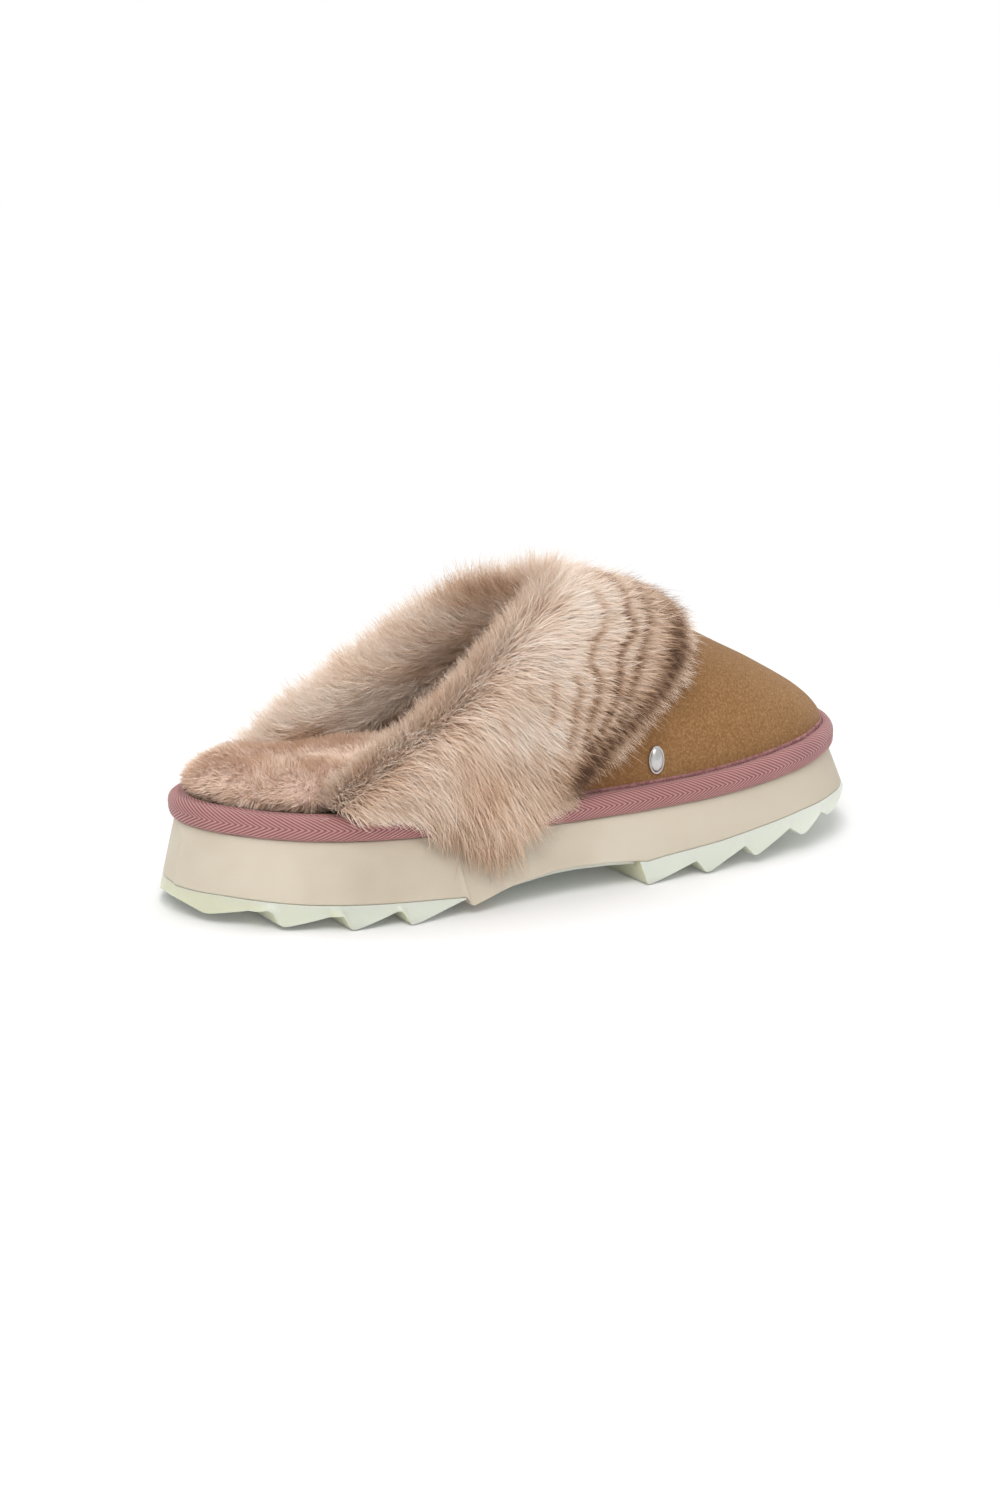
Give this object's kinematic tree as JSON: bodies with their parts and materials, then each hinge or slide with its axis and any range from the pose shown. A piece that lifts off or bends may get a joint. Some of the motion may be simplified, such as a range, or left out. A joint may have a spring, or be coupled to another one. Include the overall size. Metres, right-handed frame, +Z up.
{
  "type": "fluffy house slipper",
  "caption": "Right-foot backless platform slipper: suede toe upper, fur cuff round the foot opening, plush footbed, woven edge binding and a sawtooth rubber sole.",
  "frame": {"origin": "centre of the footprint on the ground", "axes": "+X toward the toe, +Y toward the inner (medial) side of the right foot, +Z up"},
  "size_m": [0.2732, 0.1156, 0.1019],
  "materials": {
    "outsole_rubber": "pale mint translucent rubber, satin, crisp moulded teeth",
    "midsole_foam": "cream moulded EVA foam, matt with a faint skin texture",
    "core_foam": "off-white foam",
    "binding_twill": "mauve-pink herringbone twill tape",
    "thread": "waxed polyester sewing thread",
    "board": "fibre insole board",
    "plush_pile": "short dense pinkish beige plush pile",
    "suede": "tan suede with a brushed nap",
    "lining_pile": "short plush lining",
    "stiffener": "thermoplastic toe stiffener sheet",
    "stay_tape": "woven cotton stay tape",
    "fur": "long soft fur, pinkish cream with brown tips and dashed brown stripes",
    "badge_metal": "polished nickel plate"
  },
  "bodies": {
    "root": {"outsole_heel": "outsole_rubber", "outsole_forefoot": "outsole_rubber", "midsole": "midsole_foam", "platform_core": "core_foam", "binding_tape": "binding_twill", "binding_stitch_thread": "thread", "insole_board": "board", "insole_cushion": "core_foam", "insole_sheepskin": "plush_pile", "vamp": "suede", "vamp_lining": "lining_pile", "toe_puff": "stiffener", "collar_stay_tape": "stay_tape", "fur_collar": "fur", "badge_cap": "badge_metal", "badge_washer": "badge_metal"}
  },
  "joints": []
}
